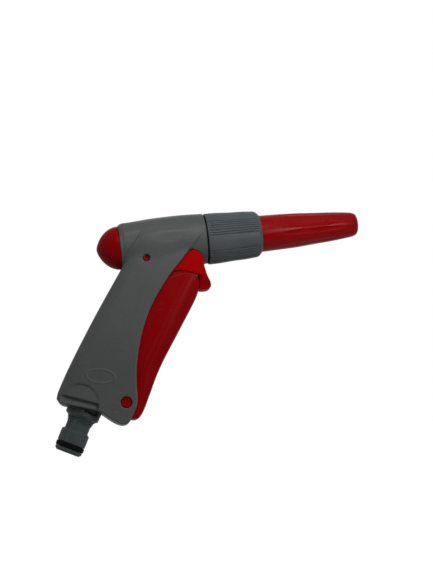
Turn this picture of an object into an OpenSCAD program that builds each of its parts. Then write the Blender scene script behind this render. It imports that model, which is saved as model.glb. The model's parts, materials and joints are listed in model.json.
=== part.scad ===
// Pistol-grip hose nozzle: a front trigger opens a spring-loaded poppet valve behind an
// adjustable spray head. The barrel axis is X (spray leaves towards +X), +Z is up, and the
// nozzle is symmetric about Y = 0. The origin is the middle of the hose plug's land.
// Inside the modules all places are given from the barrel axis at the seam behind the
// collar; placed() moves them to the part's own origin.

/* [Hose plug] */
// Radius of the plug's land, which a push-on hose connector grips
plug_land_r = 7.9; // [7.6:0.05:8.1]
// Radius of the waterway through the plug
plug_bore_r = 4.4; // [3.5:0.1:4.8]
// Angle of the plug's axis from the vertical
plug_tilt = 28; // [26:0.5:30]

/* [Barrel] */
// Outer radius of the barrel at the seam behind the collar
seam_r = 14.8; // [14.6:0.1:15]
// Outer radius of the rear cap
cap_r = 12.4; // [12.2:0.1:12.6]
// Length of the rear cap's dome
cap_len = 13.1; // [11:0.1:15]

/* [Grip] */
// Half the width of the grip over its side walls
grip_half = 13.8; // [13.6:0.1:14.4]
// Half the width of the space between the side walls
inner_half = 12.3; // [12.2:0.05:12.5]
// Rounding of the grip's back corners
back_round = 9.5; // [8:0.5:11]

/* [Trigger] */
// Half the width of the trigger and of the latch's cheeks
trigger_half = 11.9; // [11.6:0.05:12.0]
// Radius of the trigger's pivot pin
trigger_pin_r = 3.05; // [2.8:0.05:3.2]

/* [Spray head] */
// Length that the red nozzle stands out in front of the collar
nozzle_reach = 58; // [50:0.1:65]
// Radius of the outlet at the nozzle's tip
outlet_r = 3.6; // [3.2:0.1:4.0]
// Grip grooves in each of the collar's five groups
grooves_per_group = 7; // [5:1:7]

/* [Hidden] */
$fn = 72;

grey = [0.33, 0.34, 0.34];
blue_grey = [0.27, 0.30, 0.31];
red = [0.62, 0.03, 0.05];
bright_red = [0.75, 0.03, 0.05];
black = [0.05, 0.05, 0.05];
brass = [0.72, 0.58, 0.30];
steel = [0.75, 0.76, 0.78];
white = [0.88, 0.88, 0.85];

// Place of the barrel axis at the seam, seen from the part's origin
seam_x = 86.1;
seam_z = 103.3;
// Direction of the back of the grip and of the trigger, from the vertical
grip_tilt = 32.5;

// Plug stations along its axis, measured upwards from the middle of the land
land_low = -3.1;
land_high = 3.1;
nose_end = -8.8;
neck_low = 4;
neck_high = 9;
flange_low = 13.5;
flange_high = 17.8;
collar_top = flange_high + 2.5;
tube_start = 27.5;
plug_spigot_top = 33;
elbow = 40;
flange_r = 9.7;
neck_r = 6.6;
nose_r = 7.6;
plug_spigot_r = 6.2;

// Pins and pivots, from the barrel axis at the seam
trigger_pivot = [-55.5, -88.3];
latch_pivot = [-9.4, -13.6];
body_pin = [-35.4, -9.9];
body_pin_r = 1.9;
latch_pin_r = 1.3;
pin_end = 12.9;
top_half = 10.3;
cheek_inner = 10.5;

// Valve stations along the barrel axis
cap_x = -49;
skirt_front = -42.5;
skirt_r = 7.9;
skirt_bore = 6.6;
chamber_r = 11.6;
chamber_bore = 8;
chamber_front = -30.5;
seat_back = -37;
seat_front = -35;
junction_r = 3.4;
gland_back = -32;
gland_front = -28.1;
gland_r = 5;
stem_r = 2;
stem_front = -19.2;
button_front = -18.65;
gallery_z = 8;
gallery_bore = 2.7;
gallery_x0 = -33.4;
gallery_x1 = -7;
outlet_bore = 4.4;
spigot_r = 7.6;
spigot_end = 24;
tube_r = 4.8;
tube_bore = 3.4;
tube_top = [-39.6, -8];

// Spray head stations
collar_back = 0.8;
collar_front = 32.5;
collar_bore = 11.4;
nozzle_tip = collar_front + nozzle_reach;
nozzle_r = 10.6;
groove_r = 0.5;
groove_pitch = 5.8;

dome_r = 6.1;
arch_centre = [-80.6, -85.6];
arch_r = 10.1;
arch_depth = 1.2;
screw_places = [[-68.5, -50], [-64.8, -89.4], [-81.5, -71]];
screw_boss_r = 2.9;

// Side outline of the grip's panel: front edge downwards, then the bottom and the back
panel_outline = [
    [-30, 4], [-4.9, 4], [-2.7, 1.6], [-6.4, -2.6], [-10.1, -6.7], [-16.9, -14.0], [-22.2, -19.2],
    [-27.4, -25.3], [-32.5, -32.0], [-37.7, -40.1], [-42.9, -51.7], [-46.0, -61.7],
    [-48.1, -71.7], [-48.9, -80.0], [-49.1, -86.5], [-49.9, -90.5], [-51.9, -94.4],
    [-53.4, -96.8], [-55.0, -99.3], [-58.0, -100.1], [-60.8, -99.1], [-64.1, -97.0],
    [-69.6, -92.5], [-86.5, -87.0], [-89.2, -86.2], [-91.6, -84.6], [-93.2, -80.9],
    [-87.8, -70.6], [-82.8, -62.1], [-77.7, -54.0], [-67.5, -38.7], [-57.3, -24.3],
    [-52.0, -17.0], [-49.6, -13.2], [-47.0, -8]
];
// Side outline of the space inside the grip, open towards the trigger
cavity_outline = [
    [-46.0, -1], [-2.2, -1], [-2.2, -30], [-20, -60], [-40, -110], [-52.8, -110],
    [-54.8, -98.6], [-57.6, -98.0], [-62.2, -94.6], [-62.8, -85.5], [-66, -80.5], [-83.5, -72],
    [-86.2, -72.4], [-80.6, -62.9], [-75.6, -54.9], [-65.4, -39.8], [-55.2, -25.4],
    [-49.6, -17.4], [-47.4, -13.4]
];
// Side outline of the trigger: front edge downwards, hub, flange edge and top edge
trigger_outline = [
    [-6.9, -22.4], [-7.4, -30.1], [-10.9, -36.4], [-16.3, -44.2], [-21.6, -51.9],
    [-26.9, -59.6], [-32.2, -67.2], [-37.4, -75.8], [-40.6, -82.4], [-43.7, -88.4],
    [-45.8, -92.9], [-47.8, -95.9], [-49.9, -97.6], [-52.9, -97.8], [-56.5, -94.2],
    [-61.3, -90], [-61.0, -85.5], [-57.5, -72], [-52, -59.5], [-46.6, -49.5], [-40, -38.5],
    [-34, -29.5], [-30, -23.9], [-23.1, -21.7], [-16, -20.3], [-10.7, -20.6]
];
// Side outline of the trigger's narrow top, which the latch's cheeks cover
trigger_top = [
    [-8.2, -24], [-7.3, -22], [-6.1, -17.5], [-6.1, -13.6], [-9.4, -10], [-12.6, -13.6],
    [-15, -16.5], [-24, -17.3], [-28, -21], [-31, -25], [-26, -28.5], [-12, -27]
];
// Side outline of the latch's cheek, with its tail behind the panel's edge
cheek_outline = [
    [-9.4, -7.6], [-13.9, -9.5], [-24.0, -16.9], [-24.4, -18.8], [-22.0, -18.4], [-16.9, -18.6],
    [-11.8, -19.9], [-6.9, -22.0], [-5.4, -22.6], [-3.2, -16.9], [-3.3, -13.6]
];
// Front edge of the latch: from the dome's front down over the finger hook and back
hook_outline = [
    [-5.2, -13.0], [-3.3, -13.0], [-3.1, -16.9], [-2.2, -21.1], [-0.5, -25.4], [0.1, -28.0],
    [-0.8, -29.9], [-3.4, -30.4], [-5.8, -30.1], [-6.2, -27], [-5.6, -20]
];

// ---- helpers ----
module placed() {
    translate([seam_x, 0, seam_z]) children();
}
// Turns its children's Z axis into the barrel's X axis
module along_x(x = 0) {
    translate([x, 0, 0]) rotate([0, 90, 0]) children();
}
// A solid turned about the barrel axis, from points [radius, x]
module turned(points) {
    along_x() rotate_extrude() polygon(points);
}
// A rod along the barrel axis
module rod(x0, x1, r) {
    along_x(x0) cylinder(h = x1 - x0, r = r);
}
// A side outline made into a slab that is 2 * half wide
module slab(outline, half) {
    rotate([90, 0, 0]) linear_extrude(2 * half, center = true) polygon(outline);
}
// A rod across the nozzle at [x, z], from y0 to y1
module cross_rod(place, r, y0, y1) {
    translate([place[0], y0, place[1]]) rotate([-90, 0, 0]) cylinder(h = y1 - y0, r = r);
}
// The same rod on both sides
module cross_pair(place, r, y0, y1) {
    cross_rod(place, r, y0, y1);
    cross_rod(place, r, -y1, -y0);
}
// An O-ring about the barrel axis
module ring_x(x, major, minor) {
    along_x(x) rotate_extrude() translate([major, 0]) circle(minor, $fn = 32);
}
// Puts Z along the plug's axis, with Z = 0 at the middle of the plug's land
module on_plug() {
    translate([-seam_x, 0, -seam_z]) rotate([0, plug_tilt, 0]) children();
}
// A bar with rounded corners on its -X side, its length along the grip's tilt
module tilted_bar(x0, x1, half, r) {
    rotate([0, grip_tilt, 0]) translate([0, 0, -140]) linear_extrude(160) {
        translate([x0 + r, -half]) square([x1 - x0 - r, 2 * half]);
        translate([x0, -(half - r)]) square([r + 1, 2 * (half - r)]);
        for (side = [-1, 1]) translate([x0 + r, side * (half - r)]) circle(r);
    }
}
// The same bar with its rounded corners on the +X side
module tilted_bar_front(x0, x1, half, r) {
    rotate([0, grip_tilt, 0]) translate([0, 0, -140]) linear_extrude(160) {
        translate([x0, -half]) square([x1 - x0 - r, 2 * half]);
        translate([x1 - r - 1, -(half - r)]) square([r + 1, 2 * (half - r)]);
        for (side = [-1, 1]) translate([x1 - r, side * (half - r)]) circle(r);
    }
}
// Along the trigger's tilt, the distance of its pivot from the tilted origin
trigger_x = trigger_pivot[0] * cos(grip_tilt) - trigger_pivot[1] * sin(grip_tilt);

// ---- housing ----
// The grip's outside, without the barrel
module grip_outside() {
    intersection() {
        slab(panel_outline, grip_half);
        tilted_bar(-36.8, 30, grip_half, back_round);
    }
}
module housing_outside() {
    turned([
        [0, cap_x], [cap_r + 0.1, cap_x], [cap_r + 1.1, cap_x + 2.8], [cap_r + 1.6, cap_x + 5.5],
        [14.3, -38.8], [14.9, -30.8], [15.2, -22], [15.3, -15], [15.1, -6], [seam_r, 0], [0, 0]
    ]);
    grip_outside();
}
module housing_inside() {
    // bore for the valve body, wider in front for the gallery and the trigger's horn
    rod(cap_x - 1, chamber_front, chamber_r + 0.1);
    rod(chamber_front - 0.1, -2.2, 12.5);
    rod(-3, 1, 6.5);
    // space between the side walls, open towards the trigger
    intersection() {
        slab(cavity_outline, inner_half);
        tilted_bar(-34.6, 60, inner_half, back_round - 1.5);
    }
    // rounded gap in the barrel's lower edge around the latch's dome
    cross_rod(latch_pivot, dome_r + 0.4, -20, 20);
}
module housing_body() {
    difference() {
        union() {
            difference() {
                housing_outside();
                housing_inside();
            }
            intersection() {
                for (place = screw_places) cross_rod(place, screw_boss_r, -inner_half - 0.5, inner_half + 0.5);
                grip_outside();
            }
        }
        // pockets for the plug and its collar
        on_plug() translate([0, 0, -20]) cylinder(h = 20 + collar_top, r = flange_r + 0.3);
        on_plug() cylinder(h = 60, r = plug_spigot_r + 0.1);
        // arched relief over the plug on both sides, with a deeper band along the bottom edge
        cross_pair(arch_centre, arch_r, grip_half - arch_depth, 20);
        intersection() {
            cross_pair(arch_centre, arch_r, grip_half - 2 * arch_depth, 20);
            slab([[-93, -78.3], [-70, -87.3], [-70, -100], [-93, -100]], 20);
        }
        cross_rod(trigger_pivot, trigger_pin_r + 0.03, -20, 20);
        cross_rod(body_pin, body_pin_r + 0.03, -20, 20);
        for (place = screw_places) cross_rod(place, 1.3, -10, 20);
    }
}
module half_space(side) {
    translate([-100, side > 0 ? 0 : -30, -125]) cube([110, 30, 150]);
}
module housing_right() {
    color(grey) placed() intersection() {
        housing_body();
        half_space(-1);
    }
}
module housing_left() {
    color(grey) placed() difference() {
        intersection() {
            housing_body();
            half_space(1);
        }
        for (place = screw_places) {
            cross_rod(place, 1.7, -1, 12);
            cross_rod(place, 2.8, 11.4, 20);
        }
    }
}
module housing_screws() {
    color(steel) placed() for (place = screw_places) difference() {
        union() {
            cross_rod(place, 1.25, -9.5, 11.6);
            cross_rod(place, 2.6, 11.4, 13.2);
        }
        cross_rod(place, 0.9, 12.2, 14);
    }
}

// ---- rear cap ----
module rear_cap() {
    color(red) placed() difference() {
        union() {
            along_x(cap_x - 0.08) rotate_extrude() polygon([[0, 0], [cap_r, 0],
                for (a = [6:6:84]) [cap_r * cos(a), -cap_len * sin(a)], [0, -cap_len]]);
            rod(cap_x - 0.1, skirt_front, skirt_r);
        }
        rod(-57, skirt_front + 1, skirt_bore);
        rod(-58.6, -56, 5.5);
        // groove of the seal
        difference() {
            rod(-46.4, -44.6, skirt_r + 1);
            rod(-47, -44, 6.9 + 0.05);
        }
    }
}
module rear_cap_o_ring() {
    color(black) placed() ring_x(-45.5, 7.47, 0.47);
}

// ---- valve ----
// The inlet tube's way from its round elbow into the valve chamber, as a solid of radius r
module inlet_path(r) {
    bend = [-seam_x + elbow * sin(plug_tilt), -seam_z + elbow * cos(plug_tilt)];
    run = [tube_top[0] - bend[0], tube_top[1] - bend[1]];
    translate([bend[0], 0, bend[1]]) {
        rotate([0, atan2(run[0], run[1]), 0]) cylinder(h = norm(run), r = r);
        sphere(r + 0.8);
    }
}
module valve_body() {
    color(white) placed() difference() {
        union() {
            rod(cap_x + 0.15, chamber_front, chamber_r);
            rod(chamber_front - 0.1, gland_front, 6.6);
            // gallery that carries the water over the trigger's horn
            translate([0, 0, gallery_z]) rod(gallery_x0, -4, 3.6);
            rod(-11, 0, 6.4);
            translate([-11, -3.6, 0]) cube([7, 7.2, gallery_z]);
            rod(-5, -2.4, 8.4);
            rod(-0.05, spigot_end, spigot_r);
            // lugs for the retaining pins
            for (side = [-1, 1]) translate([-38.6, side > 0 ? 6 : -12.1, -13.2]) cube([6.4, 6.1, 6.6]);
        }
        rod(cap_x - 1, seat_back, chamber_bore);
        rod(seat_back - 0.1, seat_front, 6.5);
        rod(seat_front - 0.1, gland_back + 0.1, junction_r);
        rod(gland_back, gland_front + 1, gland_r);
        translate([gallery_x0, 0, 0]) cylinder(h = gallery_z, r = gallery_bore);
        translate([0, 0, gallery_z]) rod(gallery_x0 - gallery_bore, gallery_x1 + gallery_bore, gallery_bore);
        translate([gallery_x1, 0, 0]) cylinder(h = gallery_z, r = gallery_bore);
        rod(-10, spigot_end + 1, outlet_bore);
        inlet_path(tube_r + 0.02);
        cross_pair(body_pin, body_pin_r + 0.03, 7.4, 13);
        // grooves of the collar's clip and of the nozzle's seal
        difference() {
            union() {
                rod(3.1, 4.4, 10);
                rod(16.9, 19.5, 10);
            }
            rod(0, spigot_end, 6.2);
        }
    }
}
module valve_body_pins() {
    color(red) placed() cross_pair(body_pin, body_pin_r, 7.5, pin_end);
}
module valve_seat() {
    color(brass) placed() difference() {
        rod(seat_back, seat_front, 6.48);
        rod(seat_back - 1, seat_front + 1, 3.8);
    }
}
module valve_poppet() {
    color(brass) placed() difference() {
        rod(-41, -38.6, 6);
        rod(-42, -38, stem_r);
    }
}
module poppet_seal() {
    color(black) placed() difference() {
        rod(-38.6, seat_back - 0.02, 5.6);
        rod(-39, seat_back + 1, stem_r);
    }
}
module valve_stem() {
    color(steel) placed() {
        rod(-41, stem_front, stem_r);
        rod(-42.2, -41, 3);
    }
}
module stem_button() {
    color(brass) placed() difference() {
        rod(-20, button_front, 3.4);
        rod(-21, stem_front, stem_r);
    }
}
module stem_o_ring() {
    color(black) placed() ring_x(-31, 3.05, 0.98);
}
module gland_bush() {
    color(brass) placed() difference() {
        rod(-29.9, gland_front, gland_r - 0.02);
        rod(-31, gland_front + 1, stem_r + 0.05);
    }
}
// The valve's coil spring: a wire swept along a helix about the barrel axis
spring_turns = 6;
spring_steps = 16;
spring_back = -57.8;
spring_front = -41.65;
spring_r = 4.7;
wire_r = 0.6;
wire_sides = 8;
function coil(i) = let (t = i / (spring_turns * spring_steps)) [
    spring_back + (spring_front - spring_back) * t,
    spring_r * cos(360 * i / spring_steps), spring_r * sin(360 * i / spring_steps)];
function wire_ring(i) = let (a = 360 * i / spring_steps) [for (k = [0:wire_sides - 1])
    let (b = 360 * k / wire_sides)
    coil(i) + wire_r * [sin(b), cos(b) * cos(a), cos(b) * sin(a)]];
module valve_spring() {
    last = spring_turns * spring_steps;
    points = [for (i = [0:last]) each wire_ring(i)];
    walls = [for (i = [0:last - 1]) for (k = [0:wire_sides - 1])
        let (n = (k + 1) % wire_sides, a = i * wire_sides, b = (i + 1) * wire_sides)
        each [[a + k, b + k, b + n], [a + k, b + n, a + n]]];
    start = [[for (k = [0:wire_sides - 1]) k]];
    end = [[for (k = [wire_sides - 1:-1:0]) last * wire_sides + k]];
    color(steel) placed() polyhedron(points, concat(walls, start, end));
}

// ---- inlet ----
module inlet_tube() {
    color(white) placed() difference() {
        union() {
            inlet_path(tube_r);
            on_plug() translate([0, 0, tube_start + 1.5]) cylinder(h = elbow - tube_start - 1.5, r = tube_r);
        }
        inlet_path(tube_bore);
        on_plug() cylinder(h = elbow, r = tube_bore);
        // the top end stops at the chamber's bore
        rod(-60, -20, chamber_bore);
    }
}
module inlet_tube_seal() {
    color(black) placed() on_plug() translate([0, 0, tube_start]) difference() {
        cylinder(h = 1.5, r = tube_r);
        translate([0, 0, -1]) cylinder(h = 4, r = tube_bore);
    }
}
module hose_plug() {
    color(blue_grey) placed() on_plug() difference() {
        rotate_extrude() polygon([
            [0, nose_end], [nose_r - 1.1, nose_end], [nose_r, nose_end + 1.1], [nose_r, nose_end + 2.3],
            [5.3, nose_end + 2.3], [5.3, nose_end + 5.3], [plug_land_r - 0.2, nose_end + 5.3],
            [plug_land_r, land_low], [plug_land_r, land_high], [plug_land_r - 0.5, land_high + 0.4],
            [neck_r, neck_low], [neck_r, neck_high], [flange_r - 1.6, flange_low - 0.4],
            [flange_r, flange_low], [flange_r, flange_high], [plug_spigot_r, flange_high],
            [plug_spigot_r, plug_spigot_top], [0, plug_spigot_top]
        ]);
        translate([0, 0, nose_end - 1]) cylinder(h = 60, r = plug_bore_r);
        translate([0, 0, tube_start]) cylinder(h = 20, r = tube_r + 0.02);
    }
}
module plug_collar() {
    color(blue_grey) placed() on_plug() difference() {
        translate([0, 0, flange_high + 0.02]) cylinder(h = collar_top - flange_high - 0.06, r = 8.4);
        translate([0, 0, flange_high - 1]) cylinder(h = 6, r = plug_spigot_r + 0.02);
    }
}
module plug_o_ring() {
    color(black) placed() on_plug() translate([0, 0, nose_end + 3.8]) rotate_extrude()
        translate([6.67, 0]) circle(1.36, $fn = 32);
}

// ---- trigger ----
module trigger() {
    web = [[-23.6, -18.6], [-17, -18.9], [-8.5, -21.6], [-8.9, -25], [-17, -21.6], [-25, -21.4]];
    horn = [[-12.6, -19], [-13.3, -4], [-15, -0.8], [-18, -3], [-18.2, -19]];
    color(red) placed() difference() {
        union() {
            difference() {
                intersection() {
                    slab(trigger_outline, trigger_half);
                    tilted_bar_front(-60, trigger_x + 10.9, trigger_half, 8.5);
                }
                intersection() {
                    slab([[-10, -14], [-5, -32], [-45, -92], [-56, -100], [-80, -90], [-30, -14]], 9.9);
                    tilted_bar_front(-60, trigger_x + 6.6, 9.9, 6.5);
                }
            }
            // narrow top with the ears that hold the latch's pin
            difference() {
                slab(trigger_top, top_half);
                slab([[-32, -31], [-32, -5], [-4, -5], [-4, -20], [-10.6, -23], [-14, -31]], top_half - 1.6);
            }
            slab(web, top_half - 1);
            slab(horn, 2.6);
            cross_rod([-16.5, -1.6], 2, -2.6, 2.6);
            cross_rod(trigger_pivot, 5.8, -11.5, 11.5);
        }
        cross_rod(trigger_pivot, trigger_pin_r + 0.06, -20, 20);
        cross_rod(latch_pivot, latch_pin_r + 0.02, -20, 20);
    }
}
module trigger_pin() {
    color(red) placed() cross_rod(trigger_pivot, trigger_pin_r, -pin_end, pin_end);
}
module latch() {
    color(bright_red) placed() difference() {
        union() {
            // finger hook and the wall that joins the cheeks, rounded in plan
            intersection() {
                union() {
                    slab(hook_outline, 6.5);
                    intersection() {
                        slab(hook_outline, trigger_half);
                        translate([-10, -15, -22.6]) cube([20, 30, 15]);
                    }
                }
                translate([-30, 0, -40]) linear_extrude(40) {
                    translate([0, -trigger_half]) square([23.6, 2 * trigger_half]);
                    translate([20, 4.5 - trigger_half]) square([12, 2 * trigger_half - 9]);
                    for (side = [-1, 1]) translate([23, side * (trigger_half - 4.5)]) circle(4.5);
                }
            }
            difference() {
                union() {
                    slab(cheek_outline, trigger_half);
                    cross_rod(latch_pivot, dome_r, -trigger_half, trigger_half);
                }
                slab([[-30, 0], [0, 0], [0, -12.6], [-4.9, -12.6], [-5.4, -24], [-30, -24]], cheek_inner);
            }
        }
        cross_rod(latch_pivot, latch_pin_r + 0.08, -11, 11);
    }
}
module latch_pin() {
    color(steel) placed() cross_rod(latch_pivot, latch_pin_r, -10.9, 10.9);
}

// ---- spray head ----
module seam_washer() {
    color(black) placed() difference() {
        rod(0.02, collar_back - 0.05, seam_r - 0.4);
        rod(-1, 2, spigot_r + 0.02);
    }
}
module collar() {
    color(blue_grey) placed() difference() {
        turned([
            [spigot_r + 0.08, collar_back], [seam_r - 0.5, collar_back], [seam_r - 0.1, collar_back + 0.6],
            [seam_r - 0.2, 8], [14.1, 15.5], [13.9, 22.5], [13.3, 29.5], [12.4, 31.3],
            [nozzle_r + 0.5, collar_front], [nozzle_r + 0.1, collar_front], [nozzle_r + 0.1, 29],
            [collar_bore, 29], [collar_bore, 3], [spigot_r + 0.08, 3]
        ]);
        for (group = [0:4], i = [0:grooves_per_group - 1])
            rotate([72 * group + 78 + groove_pitch * (i - (grooves_per_group - 1) / 2), 0, 0])
            translate([2.4, 0, seam_r]) rotate([0, 93, 0]) cylinder(h = 26.5, r = groove_r, $fn = 16);
    }
}
module collar_clip() {
    color(steel) placed() difference() {
        rod(3.15, 4.3, 9);
        rod(0, 6, 6.25);
        translate([0, -1.2, -12]) cube([8, 2.4, 12]);
    }
}
module nozzle() {
    color(red) placed() difference() {
        turned([
            [7.95, 7], [collar_bore - 0.08, 7], [collar_bore - 0.08, 24.5], [nozzle_r, 24.5],
            [nozzle_r, 33.5], [10.35, 43.3], [10, 54], [9.2, 65], [8.4, 76], [7.3, nozzle_tip - 4.4],
            [6.7, nozzle_tip - 1.8], [5.9, nozzle_tip - 0.5], [5, nozzle_tip], [outlet_r, nozzle_tip],
            [outlet_r, nozzle_tip - 10], [3, nozzle_tip - 18], [3, nozzle_tip - 24], [6.6, nozzle_tip - 40], [7.95, 27]
        ]);
    }
}
module nozzle_o_ring() {
    color(black) placed() ring_x(18.2, 7.02, 0.8);
}
module spray_needle() {
    color(white) placed() difference() {
        union() {
            rod(17, spigot_end, outlet_bore - 0.01);
            rod(spigot_end - 0.1, nozzle_tip - 26, 1.7);
            turned([[0, nozzle_tip - 27], [1.7, nozzle_tip - 27], [2.3, nozzle_tip - 25],
                [2.3, nozzle_tip - 20], [0.6, nozzle_tip - 17], [0, nozzle_tip - 17]]);
        }
        for (a = [0:120:240]) rotate([a, 0, 0]) translate([0, 0, 2.9]) rod(16, spigot_end + 1, 0.9);
    }
}

housing_right();
housing_left();
housing_screws();
rear_cap();
rear_cap_o_ring();
valve_body();
valve_body_pins();
valve_seat();
valve_poppet();
poppet_seal();
valve_stem();
stem_button();
stem_o_ring();
gland_bush();
valve_spring();
inlet_tube();
inlet_tube_seal();
hose_plug();
plug_collar();
plug_o_ring();
trigger();
trigger_pin();
latch();
latch_pin();
seam_washer();
collar();
collar_clip();
nozzle();
nozzle_o_ring();
spray_needle();
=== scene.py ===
import json
import math
import bmesh
import bpy
import numpy as np
from mathutils import Matrix, Vector


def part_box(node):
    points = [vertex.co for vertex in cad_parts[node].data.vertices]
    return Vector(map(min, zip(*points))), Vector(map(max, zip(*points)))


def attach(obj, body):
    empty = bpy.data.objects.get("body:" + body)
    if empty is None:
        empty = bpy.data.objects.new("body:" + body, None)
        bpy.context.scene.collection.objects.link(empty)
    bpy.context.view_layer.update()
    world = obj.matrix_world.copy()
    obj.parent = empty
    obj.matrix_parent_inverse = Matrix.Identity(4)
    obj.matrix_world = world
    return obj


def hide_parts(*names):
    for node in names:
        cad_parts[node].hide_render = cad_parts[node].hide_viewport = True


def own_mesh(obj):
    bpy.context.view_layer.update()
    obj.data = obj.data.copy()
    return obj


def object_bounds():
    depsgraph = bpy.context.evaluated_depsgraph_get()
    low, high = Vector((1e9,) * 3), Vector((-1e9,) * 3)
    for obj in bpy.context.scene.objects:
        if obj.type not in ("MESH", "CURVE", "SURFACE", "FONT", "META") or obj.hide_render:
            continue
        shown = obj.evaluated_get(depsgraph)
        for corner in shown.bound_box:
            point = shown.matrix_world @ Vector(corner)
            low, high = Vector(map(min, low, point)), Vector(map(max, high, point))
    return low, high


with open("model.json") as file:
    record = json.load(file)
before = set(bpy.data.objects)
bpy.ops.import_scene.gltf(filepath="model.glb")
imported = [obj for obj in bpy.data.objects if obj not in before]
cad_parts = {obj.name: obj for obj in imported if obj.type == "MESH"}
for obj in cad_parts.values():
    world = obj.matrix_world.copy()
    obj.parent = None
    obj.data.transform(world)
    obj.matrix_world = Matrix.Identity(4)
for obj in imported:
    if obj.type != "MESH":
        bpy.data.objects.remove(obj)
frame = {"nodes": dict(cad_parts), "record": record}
cad_lo, cad_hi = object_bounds()

joints = {j["name"]: j for j in frame["record"]["behaviour"]["joints"]}
MM = 0.001
# The barrel axis at the seam behind the collar: all shapes below are given from here, in mm
SEAM = np.array([v * 1000 for v in joints["collar_turn"]["pos_m"]])
TRIGGER_PIVOT = np.array([v * 1000 for v in joints["trigger_pull"]["pos_m"]]) - SEAM
LATCH_PIVOT = np.array([v * 1000 for v in joints["latch_flip"]["pos_m"]]) - SEAM


def corners(name):
    """The low and high corner of a CAD node, in mm from the seam."""
    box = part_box(name)
    return np.array(box[0]) * 1000 - SEAM, np.array(box[1]) * 1000 - SEAM


# ---- camera ----
EYE = Vector((-74.37, -561.47, -117.61))
LOOK = Vector((0.1355, 0.9787, 0.154))
UP = Vector((0.1069, -0.1689, 0.9798))
LENS = 83.174


def camera():
    """The photograph's view: square to the side, from a little below and behind."""
    eye = (EYE + Vector(SEAM)) * MM
    look = LOOK.normalized()
    up = (UP - look * UP.dot(look)).normalized()
    right = look.cross(up)
    cam = bpy.data.cameras.new("camera")
    cam.sensor_fit = "HORIZONTAL"
    cam.sensor_width = 36
    cam.lens = LENS
    cam.clip_start, cam.clip_end = 0.01, 50
    obj = bpy.data.objects.new("camera", cam)
    obj.matrix_world = Matrix.Translation(eye) @ Matrix((right, up, -look)).transposed().to_4x4()
    bpy.context.scene.collection.objects.link(obj)
    bpy.context.scene.camera = obj


camera()


# ---- shape tools: distances are in mm, below zero inside ----
def smooth_min(a, b, k):
    h = np.clip(0.5 + 0.5 * (b - a) / k, 0, 1)
    return b + (a - b) * h - k * h * (1 - h)


def smooth_max(a, b, k):
    return -smooth_min(-a, -b, k)


def cut(a, b, k=0.4):
    """Takes b away from a, with an edge rounded by k."""
    return smooth_max(a, -b, k)


def ease(t):
    t = np.clip(t, 0, 1)
    return t * t * (3 - 2 * t)


def chaikin(points, passes):
    """Rounds a closed outline's corners by cutting them."""
    p = np.array(points, float)
    for _ in range(passes):
        q = np.roll(p, -1, axis=0)
        p = np.stack([0.75 * p + 0.25 * q, 0.25 * p + 0.75 * q], axis=1).reshape(-1, 2)
    return p


class Outline:
    """A side outline in X and Z, as a distance that is looked up on a fine grid."""
    STEP = 0.25
    PAD = 8

    def __init__(self, points, passes):
        p = chaikin(points, passes)
        self.lo = p.min(0) - self.PAD
        n = np.ceil((p.max(0) + self.PAD - self.lo) / self.STEP).astype(int) + 1
        x = self.lo[0] + self.STEP * np.arange(n[0])[:, None]
        z = self.lo[1] + self.STEP * np.arange(n[1])[None, :]
        best = np.full(n, 1e9)
        inside = np.zeros(n, bool)
        for (ax, az), (bx, bz) in zip(p, np.roll(p, -1, axis=0)):
            ex, ez = bx - ax, bz - az
            t = np.clip(((x - ax) * ex + (z - az) * ez) / (ex * ex + ez * ez), 0, 1)
            best = np.minimum(best, (x - ax - t * ex) ** 2 + (z - az - t * ez) ** 2)
            if az != bz:
                inside ^= ((az > z) != (bz > z)) & (x < ex * (z - az) / ez + ax)
        self.d = np.sqrt(best) * np.where(inside, -1, 1)

    def __call__(self, x, z):
        u = np.clip((x - self.lo[0]) / self.STEP, 0, self.d.shape[0] - 1.001)
        w = np.clip((z - self.lo[1]) / self.STEP, 0, self.d.shape[1] - 1.001)
        i, k = u.astype(int), w.astype(int)
        fu, fw = u - i, w - k
        d = self.d
        return ((d[i, k] * (1 - fu) + d[i + 1, k] * fu) * (1 - fw)
                + (d[i, k + 1] * (1 - fu) + d[i + 1, k + 1] * fu) * fw)


def cross_rod(x, z, place, r):
    """A rod across the nozzle, along Y, at a place in X and Z."""
    return np.hypot(x - place[0], z - place[-1]) - r


def rod(x, y, z, x0, x1, r):
    """A rod along the barrel's axis."""
    return np.maximum(np.hypot(y, z) - r, np.maximum(x0 - x, x - x1))


GRIP_TILT = math.radians(32.5)
PLUG_TILT = math.radians(28)


def across_grip(x, z):
    """Distance across the grip's length, from back to front."""
    return x * math.cos(GRIP_TILT) - z * math.sin(GRIP_TILT)


def rounded_side(depth, side, half, r):
    """A bar half wide, with rounded corners towards the side that depth grows to."""
    a = depth + r
    b = side - (half - r)
    return np.minimum(np.maximum(a, b), 0) + np.hypot(np.maximum(a, 0), np.maximum(b, 0)) - r


def on_plug(x, z):
    """Distance across the plug's axis and along it, from the middle of its land."""
    dx, dz = x + SEAM[0], z + SEAM[2]
    return (dx * math.cos(PLUG_TILT) - dz * math.sin(PLUG_TILT),
            dx * math.sin(PLUG_TILT) + dz * math.cos(PLUG_TILT))


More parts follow.
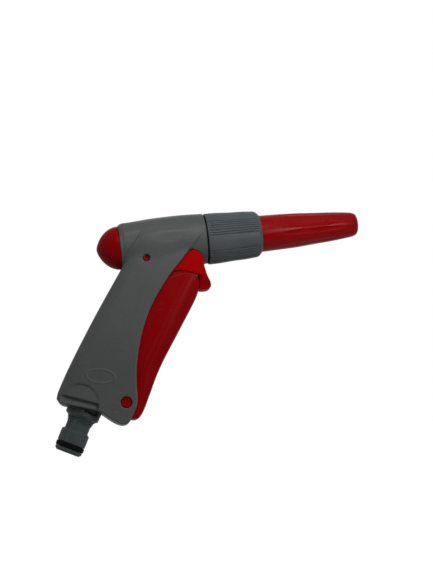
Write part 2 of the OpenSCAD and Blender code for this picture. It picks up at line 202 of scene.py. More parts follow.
def surface(field, lo, hi, step):
    """The zero surface of a field as points and quads (a naive surface net)."""
    lo = np.array(lo, float)
    n = np.ceil((np.array(hi) - lo) / step).astype(int) + 1
    x, y, z = (lo[d] + step * np.arange(n[d]) for d in range(3))
    f = np.broadcast_to(field(x[:, None, None], y[None, :, None], z[None, None, :]), n)
    inside = f < 0
    stride = np.array([n[1] * n[2], n[2], 1])
    total = int(np.prod(n))
    count = np.zeros(total)
    sums = [np.zeros(total) for _ in range(3)]
    quads = []
    for d in range(3):
        near = [slice(None)] * 3
        far = [slice(None)] * 3
        near[d], far[d] = slice(0, -1), slice(1, None)
        at = np.argwhere(inside[tuple(near)] != inside[tuple(far)])
        f0 = f[at[:, 0], at[:, 1], at[:, 2]]
        beyond = at.copy()
        beyond[:, d] += 1
        f1 = f[beyond[:, 0], beyond[:, 1], beyond[:, 2]]
        place = at.astype(float)
        place[:, d] += f0 / (f0 - f1)
        e1, e2 = stride[(d + 1) % 3], stride[(d + 2) % 3]
        g = at @ stride
        ring = np.stack([g - e1 - e2, g - e2, g, g - e1], axis=1)
        for cell in ring.T:
            count += np.bincount(cell, minlength=total)
            for a in range(3):
                sums[a] += np.bincount(cell, place[:, a], minlength=total)
        quads.append(np.where((f0 < 0)[:, None], ring, ring[:, ::-1]))
    used = np.flatnonzero(count)
    number = np.full(total, -1)
    number[used] = np.arange(len(used))
    p = lo + step * np.stack([sums[a][used] / count[used] for a in range(3)], axis=1)
    for _ in range(3):
        p = onto(field, p, step * 0.4)
    return p, number[np.concatenate(quads)]


def onto(field, p, most):
    """Moves points towards the field's zero surface, by no more than most."""
    h = 0.03
    f = field(*p.T)
    grad = []
    for a in range(3):
        q = p.copy()
        q[:, a] += h
        r = p.copy()
        r[:, a] -= h
        grad.append((field(*q.T) - field(*r.T)) / (2 * h))
    grad = np.stack(grad, axis=1)
    size = np.maximum((grad ** 2).sum(1), 0.05)
    move = -grad * (f / size)[:, None]
    long = np.maximum(np.linalg.norm(move, axis=1) / most, 1)
    return p + move / long[:, None]


def catmull(points, per=8):
    """A smooth curve through the points."""
    p = np.array(points, float)
    p = np.vstack([2 * p[0] - p[1], p, 2 * p[-1] - p[-2]])
    out = []
    for a, b, c, d in zip(p, p[1:], p[2:], p[3:]):
        for t in np.arange(per) / per:
            out.append(0.5 * (2 * b + (c - a) * t + (2 * a - 5 * b + 4 * c - d) * t ** 2
                              + (3 * b - a - 3 * c + d) * t ** 3))
    out.append(p[-2])
    return np.array(out)


def eased(points, r):
    """Rounds the sharp corners of a closed profile by about r."""
    p = np.array(points, float)
    out = []
    for a, b, c in zip(np.roll(p, 1, axis=0), p, np.roll(p, -1, axis=0)):
        u, v = a - b, c - b
        lu, lv = np.linalg.norm(u), np.linalg.norm(v)
        if lu < 1e-6 or lv < 1e-6 or np.dot(u, v) / (lu * lv) < -0.96 or b[1] < 1e-6:
            out.append(b)
            continue
        d0, d1 = min(r, 0.45 * lu), min(r, 0.45 * lv)
        start, end = b + u / lu * d0, b + v / lv * d1
        for t in (0, 0.25, 0.5, 0.75, 1):
            out.append(start * (1 - t) ** 2 + 2 * b * t * (1 - t) + end * t * t)
    return np.array(out)


def spaced(points, most):
    """Adds points to a closed profile so that none are further apart than most."""
    out = []
    for a, b in zip(points, np.roll(points, -1, axis=0)):
        n = max(1, math.ceil(np.linalg.norm(b - a) / most))
        out += [a + (b - a) * t / n for t in range(n)]
    return np.array(out)


# ---- objects ----
# axes for turned pieces: the origin, the direction along, and the two across that angles are counted from
BARREL = np.array([[0, 0, 0], [1, 0, 0], [0, -1, 0], [0, 0, 1]], float)
PLUG = np.array([-SEAM, [math.sin(PLUG_TILT), 0, math.cos(PLUG_TILT)], [0, -1, 0],
                 [-math.cos(PLUG_TILT), 0, math.sin(PLUG_TILT)]], float)


def across(place, y):
    """An axis through the nozzle, at place, that starts at y and points to -Y."""
    return np.array([[place[0], y, place[-1]], [0, -1, 0], [1, 0, 0], [0, 0, 1]], float)


def add(name, p, faces, body, slot, nodes, sharp=None, tidy=False, skin=None):
    """Makes a piece from points in mm from the seam. Edges beyond sharp degrees stay hard, tidy merges
    points that coincide, and skin is a material other than its slot's own."""
    mesh = bpy.data.meshes.new(name)
    mesh.from_pydata(((np.asarray(p) + SEAM) * MM).tolist(), [], np.asarray(faces).tolist())
    if tidy:
        bm = bmesh.new()
        bm.from_mesh(mesh)
        bmesh.ops.remove_doubles(bm, verts=bm.verts, dist=1e-7)
        bmesh.ops.dissolve_degenerate(bm, edges=bm.edges, dist=1e-8)
        bmesh.ops.recalc_face_normals(bm, faces=bm.faces)
        bm.to_mesh(mesh)
        bm.free()
    mesh.polygons.foreach_set("use_smooth", [True] * len(mesh.polygons))
    if sharp:
        mesh.set_sharp_from_angle(angle=math.radians(sharp))
    obj = bpy.data.objects.new(name, mesh)
    bpy.context.scene.collection.objects.link(obj)
    mesh.materials.append(skin or FINISH[slot])
    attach(obj, body)
    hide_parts(*nodes)
    return obj


def lathe(profile, axis, turns, shape=None, start=0.0):
    """Turns a closed profile of (along, radius) about an axis. shape(along, radius, angle) may
    change the radius. The angle is in degrees from the -Y side, upwards on the barrel."""
    prof = np.asarray(profile, float)
    origin, along, one, two = axis
    angle = start + np.arange(turns) * 360 / turns
    s, a = np.meshgrid(prof[:, 0], angle, indexing="ij")
    r = np.repeat(prof[:, 1][:, None], turns, axis=1)
    if shape:
        r = shape(s, r, a)
    c, n = np.cos(np.radians(a)), np.sin(np.radians(a))
    p = (origin + s[..., None] * along + (r * c)[..., None] * one + (r * n)[..., None] * two)
    m = len(prof)
    i, k = np.meshgrid(np.arange(m), np.arange(turns), indexing="ij")
    i1, k1 = (i + 1) % m, (k + 1) % turns
    quads = np.stack([i * turns + k, i * turns + k1, i1 * turns + k1, i1 * turns + k], axis=-1)
    return p.reshape(-1, 3), quads.reshape(-1, 4)


def add_turned(name, profile, axis, turns, body, slot, nodes, sharp=40, shape=None, start=0.0, skin=None):
    p, q = lathe(profile, axis, turns, shape, start)
    add(name, p, q, body, slot, nodes, sharp, tidy=True, skin=skin)


def add_moulded(name, field, margin, step, body, slot, node_name):
    """Makes a piece from a field, looked at in a CAD node's box and a margin around it."""
    lo, hi = corners(node_name)
    p, q = surface(field, lo - margin, hi + margin, step)
    add(name, p, q, body, slot, [node_name])


# ---- materials ----
def node(tree, kind, **inputs):
    """A shader node with its inputs set, or linked where the value is a socket."""
    n = tree.nodes.new(kind)
    for name, value in inputs.items():
        socket = n.inputs[name.replace("_", " ")]
        if isinstance(value, bpy.types.NodeSocket):
            tree.links.new(value, socket)
        else:
            socket.default_value = value
    return n


def noise(tree, at, scale, detail=3.0, rough=0.5):
    n = node(tree, "ShaderNodeTexNoise", Vector=at, Scale=scale, Detail=detail, Roughness=rough)
    return n.outputs["Fac"]


def mapped(tree, value, lo, hi, to_lo, to_hi):
    n = node(tree, "ShaderNodeMapRange", Value=value)
    for i, v in enumerate((lo, hi, to_lo, to_hi)):
        n.inputs[i + 1].default_value = v
    return n.outputs["Result"]


def mixed(tree, factor, a, b, kind="MIX"):
    n = tree.nodes.new("ShaderNodeMix")
    n.data_type = "RGBA"
    n.blend_type = kind
    for socket, value in ((n.inputs[0], factor), (n.inputs[6], a), (n.inputs[7], b)):
        if isinstance(value, bpy.types.NodeSocket):
            tree.links.new(value, socket)
        else:
            socket.default_value = value
    return n.outputs[2]


def product(tree, a, b):
    n = tree.nodes.new("ShaderNodeMath")
    n.operation = "MULTIPLY"
    tree.links.new(a, n.inputs[0])
    tree.links.new(b, n.inputs[1])
    return n.outputs[0]


def finish_of(name, low, high, rough, specular=0.3, grain=2600, depth=14e-6, wear=0.35,
              worn=None, metal=0.0, stretch=(1, 1, 1)):
    """A moulded or turned surface: two tones of colour, fine grain, scuffs and worn edges."""
    mat = bpy.data.materials.new(name)
    mat.use_nodes = True
    tree = mat.node_tree
    shader = tree.nodes["Principled BSDF"]
    at = node(tree, "ShaderNodeTexCoord").outputs["Object"]
    along = node(tree, "ShaderNodeMapping", Vector=at, Scale=stretch).outputs["Vector"]
    cloud = mapped(tree, noise(tree, at, 38, 3), 0.3, 0.7, 0, 1)
    colour = mixed(tree, cloud, (*low, 1), (*high, 1))
    # fine specks of lighter and darker pigment
    speck = mapped(tree, noise(tree, at, 1500, 2), 0.25, 0.75, 0.9, 1.1)
    colour = mixed(tree, 1.0, colour, node(tree, "ShaderNodeCombineColor", Red=speck, Green=speck,
                                           Blue=speck).outputs["Color"], "MULTIPLY")
    # scuffs: thin stretched marks, only in patches
    marks = node(tree, "ShaderNodeMapping", Vector=at, Rotation=(0.4, 0.9, 0.2),
                 Scale=(1, 9, 14)).outputs["Vector"]
    patch = mapped(tree, noise(tree, at, 60, 2), 0.5, 0.62, 0, 1)
    scuff = product(tree, mapped(tree, noise(tree, marks, 170, 2, 0.4), 0.64, 0.74, 0, 0.5), patch)
    worn = worn or tuple(min(1, v * 1.5 + 0.02) for v in high)
    colour = mixed(tree, scuff, colour, (*worn, 1))
    # edges that hands have rubbed
    pointed = node(tree, "ShaderNodeNewGeometry").outputs["Pointiness"]
    ragged = mapped(tree, noise(tree, at, 420, 3), 0.3, 0.7, 0.35, 1)
    edge = product(tree, mapped(tree, pointed, 0.53, 0.62, 0, wear), ragged)
    colour = mixed(tree, edge, colour, (*worn, 1))
    tree.links.new(colour, shader.inputs["Base Color"])
    # roughness: broad sheen changes with fine speckle on top
    broad = mapped(tree, noise(tree, at, 90, 4), 0.25, 0.75, rough - 0.06, rough + 0.06)
    fine = mapped(tree, noise(tree, along, grain * 0.4, 2), 0.25, 0.75, -0.05, 0.05)
    total = tree.nodes.new("ShaderNodeMath")
    tree.links.new(broad, total.inputs[0])
    tree.links.new(fine, total.inputs[1])
    total.use_clamp = True
    tree.links.new(total.outputs[0], shader.inputs["Roughness"])
    # height: moulding grain, and a very slight broad waviness of the skin
    bump = node(tree, "ShaderNodeBump", Height=noise(tree, along, grain, 3, 0.6), Distance=depth,
                Strength=1.0)
    wave = node(tree, "ShaderNodeBump", Height=noise(tree, at, 160, 1), Distance=10e-6, Strength=1.0,
                Normal=bump.outputs["Normal"])
    tree.links.new(wave.outputs["Normal"], shader.inputs["Normal"])
    shader.inputs["Specular IOR Level"].default_value = specular
    shader.inputs["Metallic"].default_value = metal
    return mat


FINISH = {
    "body_grey": finish_of("body_grey_skin", (0.068, 0.074, 0.074), (0.078, 0.082, 0.080), 0.44, 0.2),
    "collar_grey": finish_of("collar_grey_skin", (0.057, 0.068, 0.075), (0.072, 0.081, 0.085), 0.48, 0.22),
    "plug_grey": finish_of("plug_grey_skin", (0.044, 0.053, 0.056), (0.057, 0.065, 0.066), 0.46, 0.22),
    "red_plastic": finish_of("red_skin", (0.205, 0.0003, 0.0012), (0.235, 0.0006, 0.0018), 0.36, 0.045,
                             depth=7e-6, wear=0.18, worn=(0.32, 0.02, 0.02)),
    "bright_red_plastic": finish_of("bright_red_skin", (0.315, 0.0002, 0.0006), (0.350, 0.0005, 0.001),
                                    0.40, 0.02, depth=7e-6, wear=0.18, worn=(0.42, 0.015, 0.015)),
    "white_plastic": finish_of("white_skin", (0.62, 0.61, 0.56), (0.72, 0.71, 0.67), 0.45),
    "black_rubber": finish_of("rubber_skin", (0.003, 0.003, 0.003), (0.005, 0.005, 0.005), 0.6, 0.06,
                              grain=1800, wear=0.1),
    "brass": finish_of("brass_skin", (0.52, 0.36, 0.14), (0.66, 0.47, 0.21), 0.28, 0.5, grain=900,
                       metal=1.0, stretch=(6, 1, 1)),
    "steel": finish_of("steel_skin", (0.46, 0.46, 0.47), (0.60, 0.60, 0.62), 0.30, 0.5, grain=900,
                       metal=1.0, stretch=(6, 1, 1)),
}
POLISHED_RED = finish_of("polished_red_skin", (0.215, 0.0003, 0.0012), (0.245, 0.0006, 0.0018), 0.27, 0.11,
                         depth=5e-6, wear=0.18, worn=(0.32, 0.02, 0.02))


# ---- housing ----
PANEL = Outline([
    [-34, 3], [-4.4, 3], [-2.7, 1.6], [-6.4, -2.6], [-10.1, -6.7], [-16.9, -14.0], [-22.2, -19.2],
    [-27.4, -25.3], [-32.5, -32.0], [-37.7, -40.1], [-42.9, -51.7], [-46.0, -61.7],
    [-48.1, -71.7], [-48.9, -80.0], [-49.1, -86.5], [-49.9, -90.5], [-51.9, -94.4],
    [-53.4, -96.8], [-55.0, -99.3], [-58.0, -100.1], [-60.8, -99.1], [-64.1, -97.0],
    [-70.2, -91.6], [-72.0, -90.6], [-86.0, -85.7], [-89.2, -85.4], [-91.6, -84.0], [-93.2, -80.9],
    [-87.8, -70.6], [-82.8, -62.1], [-77.7, -54.0], [-67.5, -38.7], [-57.3, -24.3],
    [-52.0, -17.0], [-48.0, -11.0], [-40, -2]
], 1)
CAVITY = Outline([
    [-46.0, -1], [-2.2, -1], [-2.2, -30], [-20, -60], [-40, -110], [-52.8, -110],
    [-54.8, -98.6], [-57.6, -98.0], [-62.2, -94.6], [-62.8, -85.5], [-66, -80.5], [-83.5, -72],
    [-86.2, -72.4], [-80.6, -62.9], [-75.6, -54.9], [-65.4, -39.8], [-55.2, -25.4],
    [-49.6, -17.4], [-47.4, -13.4]
], 1)
BARREL_CURVE = catmull([
    [-52, 11.4], [-49, 12.75], [-47.2, 13.7], [-45.6, 13.95], [-43.5, 14.0], [-38.8, 14.3], [-30.8, 14.9],
    [-22, 15.2], [-15, 15.28], [-6, 15.1], [0, 14.8], [3, 14.6]])
# the grip's half width, outside and inside, and where its front is, across its length
GRIP_HALF = 13.8
INNER_HALF = 12.3
GRIP_FRONT = -36.8
INNER_FRONT = -34.6
BARREL_HALF = 15.29
ARCH = (-80.6, -85.6)
ARCH_R = 10.4
LIP = (-90.4, -79.3)
LIP_UP = (0.365, 0.931)
ARCH_TOP = 7.8
MARK = (-67.9, -72.5)
SCREWS = [(-68.5, -50), (-64.8, -89.4), (-81.5, -71)]
BODY_PIN = (-35.4, -9.9)
# the latch's outlines, which the gap in the housing's neck follows
CHEEK = Outline([
    [-9.4, -7.6], [-13.9, -9.5], [-24.0, -16.9], [-24.0, -18.0], [-22.0, -18.2], [-16.9, -18.6],
    [-11.8, -19.9], [-6.9, -22.0], [-5.4, -22.6], [-3.2, -16.9], [-3.3, -13.6]
], 1)
HOOK = Outline([
    [-5.2, -13.0], [-3.3, -13.0], [-3.1, -16.9], [-2.2, -21.1], [-0.5, -25.4], [0.1, -28.0],
    [-0.9, -29.2], [-3.0, -29.8], [-7.2, -29.4], [-7.2, -27], [-6.6, -22.3], [-5.4, -20]
], 1)


def relief(x, y, z):
    """The arched hollow over the plug: a scoop above a lip, and a deeper band below it."""
    up = (x - LIP[0]) * LIP_UP[0] + (z - LIP[1]) * LIP_UP[1]
    scoop = 0.1 + 0.75 * np.clip(up / ARCH_TOP, 0, 1) ** 0.8
    band = 2.5 - 1.2 * np.clip(-up / 5.3, 0, 1)
    depth = band + (scoop - band) * ease((up + 0.6) / 0.8)
    return smooth_max(cross_rod(x, z, ARCH, ARCH_R), (GRIP_HALF - depth) - np.abs(y), 0.8)


def raised_mark(x, y, z):
    """A plain low oval on the grip's side."""
    u = (x - MARK[0]) * 0.975 - (z - MARK[1]) * 0.22
    v = (x - MARK[0]) * 0.22 + (z - MARK[1]) * 0.975
    oval = (np.hypot(u / 9.2, v / 4.4) - 1) * 4.4
    rim = np.abs(oval + 0.7) - 0.28
    return smooth_max(rim, np.abs(y) - (GRIP_HALF + 0.16), 0.2)


def past_panel_edge(x, z):
    """Distance in front of the sloping edge where the panel ends and the neck begins."""
    return (x + 6.4) * 0.750 - (z + 2.6) * 0.661


def housing_outside(x, y, z):
    past_crease = past_panel_edge(x, z)
    fade = np.clip((4 - z) / 8, 0, 1)
    rim = 0.18 * np.exp(-((past_crease + 0.35) / 0.5) ** 2)
    neck = fade * (0.75 * ease(past_crease / 0.8) - rim)
    # behind the panel's sloping back edge the barrel's side is hollowed a little
    behind = -0.785 * (x + 38.1) + 0.619 * (z - 3.1)
    waist = 0.9 * ease((behind + 0.3) / 0.9) * ease((7.4 - z) / 6.4) * ease((x + 48.6) / 1.2)
    radius = np.interp(x, BARREL_CURVE[:, 0], BARREL_CURVE[:, 1]) - neck - waist
    barrel = np.hypot(y, z) - radius
    barrel = smooth_max(smooth_max(barrel, -49.0 - x, 0.5), x, 0.4)
    bar = rounded_side(GRIP_FRONT - across_grip(x, z), np.abs(y), GRIP_HALF, 9.5)
    grip = smooth_max(PANEL(x, z), bar, 0.9)
    grip = smooth_min(grip, raised_mark(x, y, z), 0.12)
    soft = 0.4 + 3.0 * ease((-past_crease - 0.3) / 12) * (0.3 + 0.7 * ease((x + 46) / 12))
    whole = smooth_min(barrel, grip, soft)
    return np.maximum(whole, np.abs(y) - BARREL_HALF)


def housing_inside(x, y, z):
    bore = np.minimum(rod(x, y, z, -60, -30.5, 11.7), rod(x, y, z, -30.7, -2.2, 12.5))
    bore = np.minimum(bore, rod(x, y, z, -3, 5, 8.5))
    bar = rounded_side(INNER_FRONT - across_grip(x, z), np.abs(y), INNER_HALF, 8.0)
    cavity = smooth_max(np.maximum(CAVITY(x, z), x - LATCH_PIVOT[0] - 1), bar, 0.6)
    u, w = on_plug(x, z)
    across_plug = np.hypot(u, y)
    pocket = smooth_max(across_plug - 10.0, w - 20.3, 0.3)
    pocket = np.minimum(pocket, np.maximum(across_plug - 6.3, w - 40))
    return np.minimum(np.minimum(bore, cavity), pocket)


def latch_sweep(x, z):
    """Distance to the latch's outline over its whole turn."""
    dx, dz = x - LATCH_PIVOT[0], z - LATCH_PIVOT[2]
    near = []
    for turn in np.radians([0, 3.4, 6.7, 10]):
        c, n = math.cos(turn), math.sin(turn)
        back_x, back_z = LATCH_PIVOT[0] + dx * c + dz * n, LATCH_PIVOT[2] - dx * n + dz * c
        near.append(np.minimum(HOOK(back_x, back_z), CHEEK(back_x, back_z)))
    return np.minimum.reduce(near)


def housing(side):
    """One half of the housing, on the given side of Y = 0."""
    def field(x, y, z):
        f = housing_outside(x, y, z)
        f = cut(f, housing_inside(x, y, z))
        bosses = np.minimum.reduce([cross_rod(x, z, s, 2.9) for s in SCREWS])
        within = rounded_side(INNER_FRONT - 1 - across_grip(x, z), np.abs(y), INNER_HALF + 0.5, 8.6)
        bosses = np.maximum(np.maximum(bosses, within), PANEL(x, z) + 1.2)
        f = np.minimum(f, bosses)
        f = cut(f, relief(x, y, z), 0.35)
        # the latch's dome fills a round gap in the neck, in front of the panel's edge
        gap = np.minimum(cross_rod(x, z, LATCH_PIVOT, 6.25), latch_sweep(x, z) - 0.35)
        f = cut(f, np.maximum(gap, -past_panel_edge(x, z)), 0.15)
        f = cut(f, cross_rod(x, z, TRIGGER_PIVOT, 3.15), 0.45)
        f = cut(f, cross_rod(x, z, BODY_PIN, 2.0), 0.45)
        if side > 0:
            for s in SCREWS:
                f = cut(f, np.maximum(cross_rod(x, z, s, 2.9), 11.4 - y), 0.3)
                f = cut(f, cross_rod(x, z, s, 1.7), 0.2)
        return smooth_max(f, -side * y + 0.03, 0.3)
    return field


for name, side in (("housing_right", -1), ("housing_left", 1)):
    add_moulded(name + "_skin", housing(side), 1.6, 0.5, "body", "body_grey", name)


# ---- trigger ----
LEVER = Outline([
    [-6.9, -22.4], [-7.4, -30.1], [-10.9, -36.4], [-16.3, -44.2], [-21.6, -51.9],
    [-26.9, -59.6], [-32.2, -67.2], [-37.4, -75.8], [-40.6, -82.4], [-43.7, -88.4],
    [-45.8, -92.9], [-47.8, -95.9], [-49.9, -97.6], [-52.9, -97.8], [-56.5, -94.2],
    [-61.3, -90], [-61.0, -85.5], [-57.5, -72], [-52, -59.5], [-46.6, -49.5], [-40, -38.5],
    [-34, -29.5], [-29, -22.8], [-23.1, -21.0], [-16, -20.0], [-10.7, -20.5]
], 2)
LEVER_INSIDE = Outline([[-10, -14], [-5, -32], [-45, -92], [-56, -100], [-80, -90], [-30, -14]], 0)
LEVER_TOP = Outline([
    [-8.2, -24], [-7.3, -22], [-6.1, -17.5], [-6.1, -13.6], [-9.4, -10], [-12.6, -13.6],
    [-15, -16.5], [-24, -17.3], [-28, -21], [-31, -25], [-26, -28.5], [-12, -27]
], 1)
LEVER_TOP_INSIDE = Outline([[-32, -31], [-32, -5], [-4, -5], [-4, -20], [-10.6, -23], [-14, -31]], 0)
WEB = Outline([[-23.6, -18.6], [-17, -18.9], [-8.5, -21.6], [-8.9, -25], [-17, -21.6], [-25, -21.4]], 1)
HORN = Outline([[-12.6, -19], [-13.3, -4], [-15, -0.8], [-18, -3], [-18.2, -19]], 1)
TRIGGER_HALF = 11.9
TOP_HALF = 11.0
LEVER_FRONT = across_grip(TRIGGER_PIVOT[0], TRIGGER_PIVOT[2]) + 10.9


def trigger_field(x, y, z):
    side = np.abs(y)
    depth = across_grip(x, z)
    # the lever is crowned over its whole width, and squarer towards its hub
    round_front = 10.8 - 5.8 * ease((-66 - z) / 26)
    f = smooth_max(LEVER(x, z), rounded_side(depth - LEVER_FRONT, side, TRIGGER_HALF, round_front), 0.9)
    hollow = np.maximum(LEVER_INSIDE(x, z), rounded_side(depth - LEVER_FRONT + 4.3, side, 9.9, 6.5))
    f = cut(f, hollow, 0.5)
    top = np.maximum(LEVER_TOP(x, z), side - TOP_HALF)
    top = cut(top, np.maximum(LEVER_TOP_INSIDE(x, z), side - TOP_HALF + 1.6), 0.4)
    f = smooth_min(f, top, 0.3)
    f = smooth_min(f, np.maximum(WEB(x, z), side - TOP_HALF + 1.7), 0.3)
    f = smooth_min(f, smooth_max(HORN(x, z), side - 2.6, 0.4), 0.3)
    f = smooth_min(f, np.maximum(cross_rod(x, z, TRIGGER_PIVOT, 5.8), side - 11.5), 0.3)
    f = cut(f, cross_rod(x, z, TRIGGER_PIVOT, 3.11), 0.3)
    return cut(f, cross_rod(x, z, LATCH_PIVOT, 1.32), 0.2)


add_moulded("trigger_lever", trigger_field, 1.5, 0.5, "trigger", "red_plastic", "trigger")


# ---- latch ----
BETWEEN_CHEEKS = Outline([[-30, 0], [0, 0], [0, -12.6], [-4.9, -12.6], [-5.4, -24], [-30, -24]], 0)
CHEEK_INNER = 11.1


def latch_field(x, y, z):
    side = np.abs(y)
    # the hook narrows downwards from the cheeks' full width
    half = 5.2 + (TRIGGER_HALF - 5.2) * ease((z + 29.5) / 10)
    hook = smooth_max(HOOK(x, z), side - half, 1.1)
    plan = np.minimum(rounded_side(x + 0.6, side, TRIGGER_HALF, 7.5), np.maximum(side - 7.4, x - 2))
    hook = smooth_max(hook, plan, 0.8)
    cheeks = smooth_min(CHEEK(x, z), cross_rod(x, z, LATCH_PIVOT, 6.05), 0.3)
    cheeks = smooth_max(cheeks, side - TRIGGER_HALF, 0.6)
    cheeks = cut(cheeks, np.maximum(BETWEEN_CHEEKS(x, z), side - CHEEK_INNER), 0.3)
    return cut(smooth_min(cheeks, hook, 0.3), np.maximum(cross_rod(x, z, LATCH_PIVOT, 1.38), side - 11), 0.2)


add_moulded("latch_hook", latch_field, 1.2, 0.35, "latch", "bright_red_plastic", "latch")


# ---- rear cap ----
CAP_X = -49.08
CAP_R = 12.4
CAP_LEN = 13.1
dome = [(CAP_X - CAP_LEN * math.sin(a), CAP_R * math.cos(a) ** 1.3)
        for a in np.radians(np.linspace(3, 90, 40))]
cap_profile = spaced(eased(
    [(CAP_X, 8), (CAP_X, CAP_R - 0.35), (CAP_X - 0.3, CAP_R)] + [(s, max(r, 0)) for s, r in dome]
    + [(-57, 0), (-57, 6.6), (-42.5, 6.6), (-42.5, 7.9), (-44.6, 7.9), (-44.6, 6.95), (-46.4, 6.95),
       (-46.4, 7.9)], 0.12), 1.2)
add_turned("rear_cap_dome", cap_profile, BARREL, 160, "body", "red_plastic", ["rear_cap"])

# ---- seam washer ----
washer_profile = eased([(0.02, 7.7), (0.02, 13.9), (0.74, 13.9), (0.74, 7.7)], 0.15)
add_turned("seam_ring", washer_profile, BARREL, 160, "body", "black_rubber", ["seam_washer"])

# ---- collar ----
GROOVES = 7
GROOVE_PITCH = 5.8
GROOVE_GROUPS = 5
GROUP_AT = 12
GROOVE_ENDS = (1.5, 30.2)


def groove_depth(s, r, angle):
    """Depth of the collar's lengthwise grip grooves, which have round bottoms and round ends."""
    turn = 360 / GROOVE_GROUPS
    near = (angle - GROUP_AT + turn / 2) % turn - turn / 2
    last = (GROOVES - 1) / 2
    index = np.clip(np.round(near / GROOVE_PITCH), -last, last)
    off = np.radians(near - index * GROOVE_PITCH) * r
    over = np.maximum(np.maximum(GROOVE_ENDS[0] + 0.5 - s, s - GROOVE_ENDS[1] + 0.5), 0)
    inside = np.clip(1 - (off ** 2 + over ** 2) / 0.27, 0, 1)
    return 0.55 * np.sqrt(inside)


def collar_shape(s, r, angle):
    return np.where(r > 12.6, r - groove_depth(s, r, angle), r)


collar_skin = catmull([[1.5, 14.72], [8, 14.6], [15.5, 14.1], [22.5, 13.9], [28.4, 13.42], [29.9, 13.24]], 12)
collar_profile = np.array(
    [(0.8, 7.7), (0.8, 14.25), (0.95, 14.5), (1.2, 14.66)] + [tuple(v) for v in collar_skin]
    + [(30.5, 13.0), (31.3, 12.4), (32.2, 11.4), (32.45, 11.1), (32.5, 10.9), (32.3, 10.7),
       (29, 10.7), (29, 11.4), (3, 11.4), (3, 7.7)])
add_turned("collar_grip", spaced(collar_profile, 0.75), BARREL, 720, "collar", "collar_grey", ["collar"],
           50, collar_shape)

# ---- nozzle ----
FLUTES = 15
FLUTE_AT = -6
FLUTE_ENDS = (42.5, 84)
TIP = 90.5


def nozzle_shape(s, r, angle):
    """Shallow lens-shaped flutes that fade out towards both ends."""
    t = np.clip((s - FLUTE_ENDS[0]) / (FLUTE_ENDS[1] - FLUTE_ENDS[0]), 0, 1)
    u = ((angle - FLUTE_AT) / (360 / FLUTES)) % 1 * 2 - 1
    width = np.sin(math.pi * t) ** 0.55
    hollow = np.clip(1 - (u / np.maximum(width, 1e-3)) ** 2, 0, 1)
    return np.where((t > 0) & (t < 1) & (r > 6.9), r - 0.30 * np.sin(math.pi * t) ** 0.8 * hollow, r)


nozzle_skin = catmull([[24.5, 10.6], [33.5, 10.6], [43.3, 10.35], [54, 10.0], [65, 9.2], [76, 8.4],
                       [86.1, 7.3], [88.7, 6.7]], 14)
nozzle_profile = np.array(
    [tuple(v) for v in nozzle_skin] + [(89.6, 6.3), (90.2, 5.7), (90.46, 5.0), (TIP, 4.4), (90.4, 3.8),
                                       (90.0, 3.6), (80.5, 3.6), (72.5, 3), (66.5, 3), (50.5, 6.6),
                                       (27, 7.95), (7, 7.95), (7, 11.32), (24.2, 11.32), (24.5, 11.1)])
add_turned("nozzle_body", spaced(nozzle_profile, 0.9), BARREL, 360, "nozzle", "red_plastic", ["nozzle"],
           shape=nozzle_shape, start=FLUTE_AT, skin=POLISHED_RED)

# ---- hose plug ----
plug_profile = [
    (-8.8, 4.4), (-8.8, 6.4), (-7.6, 7.6), (-6.5, 7.6), (-6.5, 5.35), (-3.5, 5.35), (-3.5, 7.7), (-3.1, 7.9),
    (3.1, 7.9), (3.5, 7.4), (4.1, 6.6), (7.9, 6.6), (8.5, 6.85), (9.2, 7.15), (9.4, 6.7), (9.6, 7.2),
    (10.4, 7.55), (10.6, 7.1), (10.8, 7.65), (11.5, 8.1), (12.0, 9.0), (12.4, 9.4), (14.6, 9.5), (14.8, 9.25),
    (15.0, 9.5), (17.6, 9.65), (17.8, 9.5), (17.8, 6.2), (33, 6.2), (33, 4.82), (27.5, 4.82), (27.5, 4.4)]
NOTCH_AT = -30


def plug_shape(s, r, angle):
    """A shallow notch in the flange, on the side towards the grip's front."""
    near = np.abs((angle - NOTCH_AT + 180) % 360 - 180)
    depth = 1.5 * ease((27 - near) / 3) * ease((s - 14.9) / 0.4) * ease((17.5 - s) / 0.3)
    return np.where(r > 9, r - depth, r)


add_turned("plug_body", spaced(eased(plug_profile, 0.16), 0.6), PLUG, 216, "body", "plug_grey",
           ["hose_plug"], 35, plug_shape)
ring_profile = eased([(17.83, 6.3), (17.83, 8.35), (20.2, 8.35), (20.2, 6.3)], 0.2)
add_turned("plug_collar_ring", ring_profile, PLUG, 160, "body", "plug_grey", ["plug_collar"])


def squashed(a):
    """A point of a ring's section that has been pressed into a square groove."""
    c, n = math.cos(a), math.sin(a)
    return (-5 + 1.48 * math.copysign(abs(c) ** 0.4, c), 6.67 + 1.33 * math.copysign(abs(n) ** 0.8, n))


seal_profile = [squashed(a) for a in np.linspace(0, 2 * math.pi, 49)[:-1]]
add_turned("plug_seal_ring", seal_profile, PLUG, 160, "body", "black_rubber", ["plug_o_ring"], None)


# ---- pins ----
def add_pin(name, place, r, y0, y1, nodes):
    """A moulded pin with a slightly dished and chamfered face at each end, from y1 to y0."""
    long = y1 - y0
    profile = [(0.25, 0), (0.2, 0.45 * r), (0.0, 0.72 * r), (0.1, r - 0.3), (0.5, r), (long - 0.5, r),
               (long - 0.1, r - 0.3), (long, 0.72 * r), (long - 0.2, 0.45 * r), (long - 0.25, 0)]
    add_turned(name, spaced(eased(profile, 0.15), 0.8), across(place, y1), 72, "body", "red_plastic", nodes)


add_pin("trigger_pin_rod", TRIGGER_PIVOT, 3.05, -12.9, 12.9, ["trigger_pin"])
add_pin("body_pin_right", BODY_PIN, 1.9, -12.9, -7.5, ["valve_body_pins"])
add_pin("body_pin_left", BODY_PIN, 1.9, 7.5, 12.9, ["valve_body_pins"])

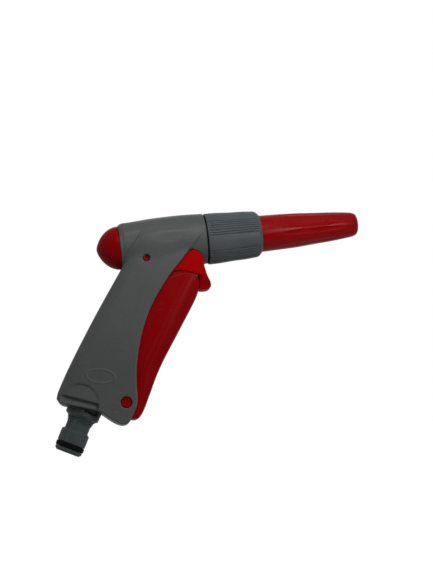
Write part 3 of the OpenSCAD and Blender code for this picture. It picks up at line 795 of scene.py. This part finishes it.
# ---- valve spring: a round wire with closed end coils ----
COILS = 6
COIL_STEPS = 36
WIRE_SIDES = 12
SPRING = (-57.8, -41.65)
SPRING_R = 4.7
WIRE_R = 0.58
part = np.linspace(0, 1, COILS * COIL_STEPS + 1)
part = np.concatenate([part[:1], part, part[-1:]])
thick = np.full(len(part), WIRE_R)
thick[[0, -1]] = 0
turned = 2 * math.pi * COILS * part
rise = np.clip((part * COILS - 0.5) / (COILS - 1), 0, 1)
around = np.linspace(0, 2 * math.pi, WIRE_SIDES + 1)[:-1]
s = (SPRING[0] + (SPRING[1] - SPRING[0]) * rise)[:, None] + thick[:, None] * np.sin(around)
r = SPRING_R + thick[:, None] * np.cos(around)
p = np.stack([s, r * np.cos(turned)[:, None], r * np.sin(turned)[:, None]], axis=-1).reshape(-1, 3)
i, k = np.meshgrid(np.arange(len(part) - 1) * WIRE_SIDES, np.arange(WIRE_SIDES), indexing="ij")
k1 = (k + 1) % WIRE_SIDES
q = np.stack([i + k, i + k1, i + WIRE_SIDES + k1, i + WIRE_SIDES + k], axis=-1).reshape(-1, 4)
spring = add("valve_spring_coil", p, q, "body", "steel", ["valve_spring"], 60, tidy=True)
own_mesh(spring)

# ---- the CAD pieces that stay ----
slots = {s["node"]: s["material_slot"] for s in frame["record"]["subparts"]}
for name, obj in frame["nodes"].items():
    obj.data.materials.clear()
    obj.data.materials.append(FINISH[slots[name]])

# ---- light and floor ----
scene = bpy.context.scene
scene.view_settings.view_transform = "Standard"


def area(name, at, towards, size, power):
    light = bpy.data.lights.new(name, "AREA")
    light.shape = "DISK"
    light.size = size
    light.energy = power
    obj = bpy.data.objects.new(name, light)
    obj.location = at
    obj.rotation_mode = "QUATERNION"
    obj.rotation_quaternion = (Vector(towards) - Vector(at)).to_track_quat("-Z", "Y")
    scene.collection.objects.link(obj)


middle = (cad_lo + cad_hi) / 2
head = Vector(SEAM) * MM
area("key", head + Vector((0, -0.21, 0.14)), head + Vector((0, 0, 0.02)), 0.14, 0.32)
area("gloss", head + Vector((0.17, -0.30, 0)), head + Vector((0.07, 0, 0)), 0.04, 0.36)
area("fill", head + Vector((-0.40, -0.22, -0.25)), head, 0.25, 0.9)
area("back", middle + Vector((0.1, 0.8, 0.5)), middle, 0.6, 0.7)

floor = bpy.data.meshes.new("floor")
FLOOR_Z = cad_lo[2] - 0.035
REACH = 6
FLOOR_CORNERS = ((-REACH, -REACH), (REACH, -REACH), (REACH, REACH), (-REACH, REACH))
floor.from_pydata([(x, y, FLOOR_Z) for x, y in FLOOR_CORNERS], [], [(0, 1, 2, 3)])
floor_obj = bpy.data.objects.new("floor", floor)
scene.collection.objects.link(floor_obj)
paper = bpy.data.materials.new("floor_paper")
paper.use_nodes = True
tree = paper.node_tree
at = node(tree, "ShaderNodeTexCoord").outputs["Object"]
tone = mixed(tree, noise(tree, at, 9), (0.90, 0.90, 0.90, 1), (0.94, 0.94, 0.94, 1))
shader = tree.nodes["Principled BSDF"]
tree.links.new(tone, shader.inputs["Base Color"])
shader.inputs["Roughness"].default_value = 0.8
shader.inputs["Emission Color"].default_value = (1, 1, 1, 1)
shader.inputs["Emission Strength"].default_value = 0.7
floor.materials.append(paper)
floor_obj.visible_diffuse = False
floor_obj.visible_glossy = False

world = bpy.data.worlds.new("world")
scene.world = world
world.use_nodes = True
tree = world.node_tree
direct = node(tree, "ShaderNodeLightPath").outputs["Is Camera Ray"]
sky = node(tree, "ShaderNodeTexCoord").outputs["Generated"]
height = node(tree, "ShaderNodeSeparateXYZ", Vector=sky).outputs["Z"]
glow = mixed(tree, mapped(tree, height, -0.7, 0.9, 0, 1), (0.46, 0.46, 0.46, 1), (0.46, 0.45, 0.44, 1))
# the side that the camera looks from is dim, as behind a dark tripod and operator
facing = tree.nodes.new("ShaderNodeVectorMath")
facing.operation = "DOT_PRODUCT"
tree.links.new(sky, facing.inputs[0])
facing.inputs[1].default_value = -LOOK
glow = mixed(tree, mapped(tree, facing.outputs["Value"], 0.55, 0.9, 0, 1), glow, (0.06, 0.06, 0.06, 1))
tree.links.new(mixed(tree, direct, glow, (1, 1, 1, 1)), tree.nodes["Background"].inputs["Color"])
